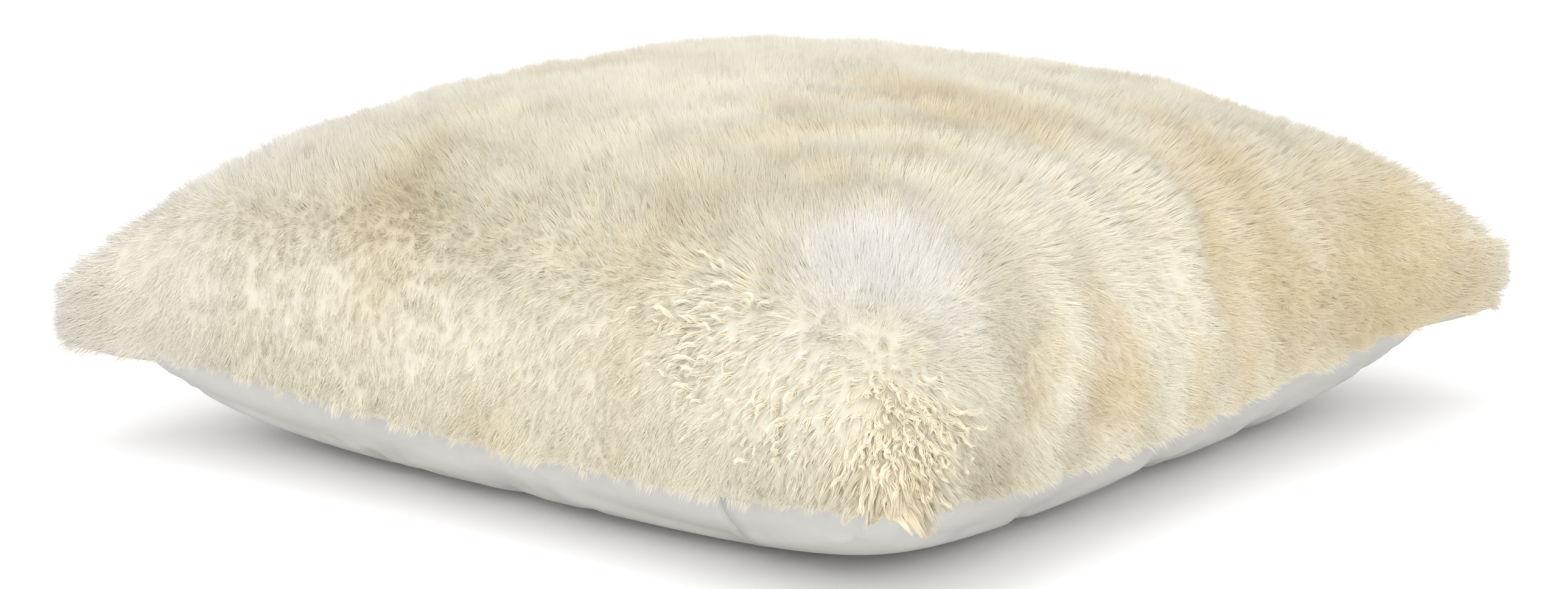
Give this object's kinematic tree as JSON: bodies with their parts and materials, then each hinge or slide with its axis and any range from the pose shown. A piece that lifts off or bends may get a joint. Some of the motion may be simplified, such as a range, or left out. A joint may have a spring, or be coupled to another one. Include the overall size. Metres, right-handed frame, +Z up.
{
  "type": "pet cushion bed",
  "caption": "Low square pet cushion with a deep natural wool top, pulled-in sides and raised corners, and a smooth cotton underside closed by a zip.",
  "frame": {"origin": "on the floor, under the middle of the cushion", "axes": "+Z up through the crown; the sides run along X and Y; the zip runs along Y near the +X side and closes towards +Y"},
  "size_m": [0.6082, 0.6082, 0.2136],
  "materials": {
    "wool": "natural ivory wool, matt, in soft clumped locks",
    "hide": "suede flesh side of a tanned skin",
    "cotton": "off-white plain-weave cotton, matt",
    "ticking": "white cotton ticking",
    "fibre": "white polyester fibre fill",
    "thread": "off-white spun sewing thread",
    "tape": "woven polyester tape",
    "coil": "off-white nylon coil",
    "nickel": "dull nickel-plated zinc",
    "label": "blank satin ribbon"
  },
  "bodies": {
    "cover": {"wool_pile": "wool", "sheepskin_hide": "hide", "base_panel_main": "cotton", "base_panel_flap": "cotton", "perimeter_stitching": "thread", "seam_binding": "tape", "care_label": "label", "zip_tape_main": "tape", "zip_tape_flap": "tape", "zip_coil_main": "coil", "zip_coil_flap": "coil", "zip_top_stop_main": "nickel", "zip_top_stop_flap": "nickel", "zip_bottom_stop": "nickel", "zip_topstitch_main": "thread", "zip_topstitch_flap": "thread", "bar_tack_front": "thread", "bar_tack_rear": "thread", "insert_ticking_top": "ticking", "insert_ticking_bottom": "ticking", "insert_stitching": "thread", "fibre_filling": "fibre"},
    "slider": {"zip_slider": "nickel"},
    "pull_tab": {"zip_pull_tab": "nickel"}
  },
  "joints": [
    {"name": "zip_slide", "type": "slide", "parent": "cover", "child": "slider", "axis": [0, -1, 0], "range_m": [0, 0.37]},
    {"name": "pull_tab_hinge", "type": "hinge", "parent": "slider", "child": "pull_tab", "pos_m": [0.165, 0.18528, 0.00305], "axis": [1, 0, 0], "range_deg": [-5, 173]}
  ]
}
